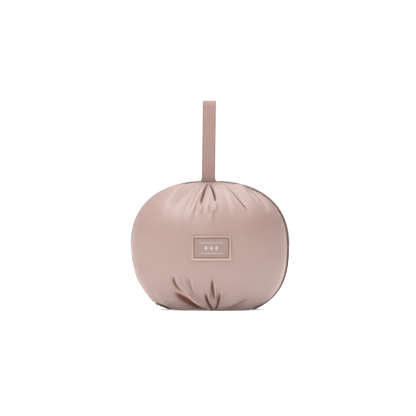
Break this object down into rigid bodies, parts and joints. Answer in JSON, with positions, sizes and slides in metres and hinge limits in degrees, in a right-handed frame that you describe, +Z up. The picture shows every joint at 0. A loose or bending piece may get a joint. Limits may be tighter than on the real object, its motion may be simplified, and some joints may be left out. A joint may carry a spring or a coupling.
{
  "type": "underwear storage bag",
  "caption": "Puffy gathered clamshell storage bag in satin cloth, with a zip round its side, a flat webbing loop on top and a stitched patch on the front.",
  "frame": {"origin": "on the floor, under the middle of the whole bag seen from above", "axes": "+X to the right of someone who faces the front panel, +Y from the front panel to the back panel, +Z up the strap"},
  "size_m": [0.2409, 0.1223, 0.319],
  "materials": {
    "bag_cloth": "satin-faced nylon, dusty rose",
    "strap_webbing": "ribbed webbing, matt",
    "zip_tape": "woven tape, brown rose",
    "zip_coil": "moulded coil, half matt",
    "slider_metal": "pale rose paint, half matt",
    "label_patch": "flat woven patch with a turned rim"
  },
  "bodies": {
    "root": {"front_panel": "bag_cloth", "back_panel": "bag_cloth", "base_gusset": "bag_cloth", "zip_tape_front": "zip_tape", "zip_tape_back": "zip_tape", "zip_chain": "zip_coil", "zip_slider": "slider_metal", "strap": "strap_webbing", "label": "label_patch"}
  },
  "joints": []
}
